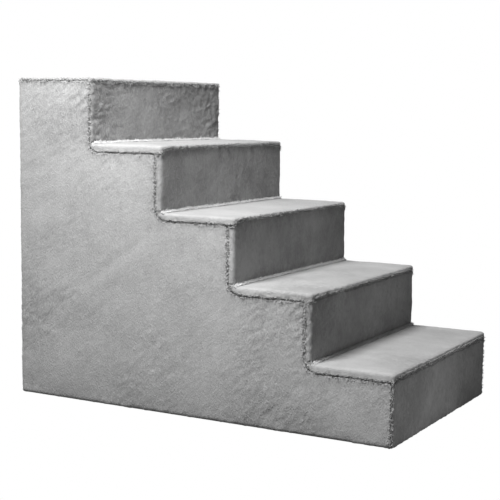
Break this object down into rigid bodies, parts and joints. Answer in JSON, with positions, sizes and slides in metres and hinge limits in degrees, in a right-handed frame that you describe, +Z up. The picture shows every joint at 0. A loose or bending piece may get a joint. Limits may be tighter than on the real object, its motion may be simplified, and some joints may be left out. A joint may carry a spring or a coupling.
{
  "type": "pet stairs",
  "caption": "Free-standing foam pet stairs: glued foam slabs in a sewn plush cover with a zip-out rear flap and an anti-slip base.",
  "frame": {"origin": "on the floor, under the middle of the whole object", "axes": "+Z up, +Y towards the tall rear, -Y towards the lowest step, X across the treads"},
  "size_m": [0.43, 0.7398, 0.5715],
  "materials": {
    "plush": "matte",
    "foam": "matte",
    "grip_fabric": "matte",
    "zip_tape": "matte",
    "zip_coil": "satin",
    "zip_metal": "satin"
  },
  "bodies": {
    "stairs": {"foam_slab_1": "foam", "foam_slab_2": "foam", "foam_slab_3": "foam", "foam_slab_4": "foam", "foam_slab_5": "foam", "tread_panel_1": "plush", "tread_panel_2": "plush", "tread_panel_3": "plush", "tread_panel_4": "plush", "tread_panel_5": "plush", "riser_panel_1": "plush", "riser_panel_2": "plush", "riser_panel_3": "plush", "riser_panel_4": "plush", "riser_panel_5": "plush", "left_side_panel": "plush", "right_side_panel": "plush", "rear_top_strip": "plush", "rear_left_strip": "plush", "rear_right_strip": "plush", "rear_bottom_strip": "plush", "base_panel": "grip_fabric", "zip_tape_fixed": "zip_tape", "zip_end_tab_left": "zip_tape", "zip_end_tab_right": "zip_tape", "zip_coil_fixed": "zip_coil", "zip_stop_left": "zip_metal", "zip_stop_right": "zip_metal"},
    "flap": {"rear_flap": "plush", "zip_tape_flap": "zip_tape", "zip_coil_flap": "zip_coil"},
    "slider": {"zip_slider": "zip_metal"},
    "pull": {"zip_pull": "zip_metal"}
  },
  "joints": [
    {"name": "flap_hinge", "type": "hinge", "parent": "stairs", "child": "flap", "pos_m": [0, 0.36442, 0.5], "axis": [1, 0, 0], "range_deg": [0, 150]},
    {"name": "slider_travel", "type": "slide", "parent": "stairs", "child": "slider", "axis": [0, 0, -1], "range_m": [0, 0.468]},
    {"name": "pull_hinge", "type": "hinge", "parent": "slider", "child": "pull", "pos_m": [0.181, 0.36812, 0.545], "axis": [1, 0, 0], "range_deg": [0, 175]}
  ]
}
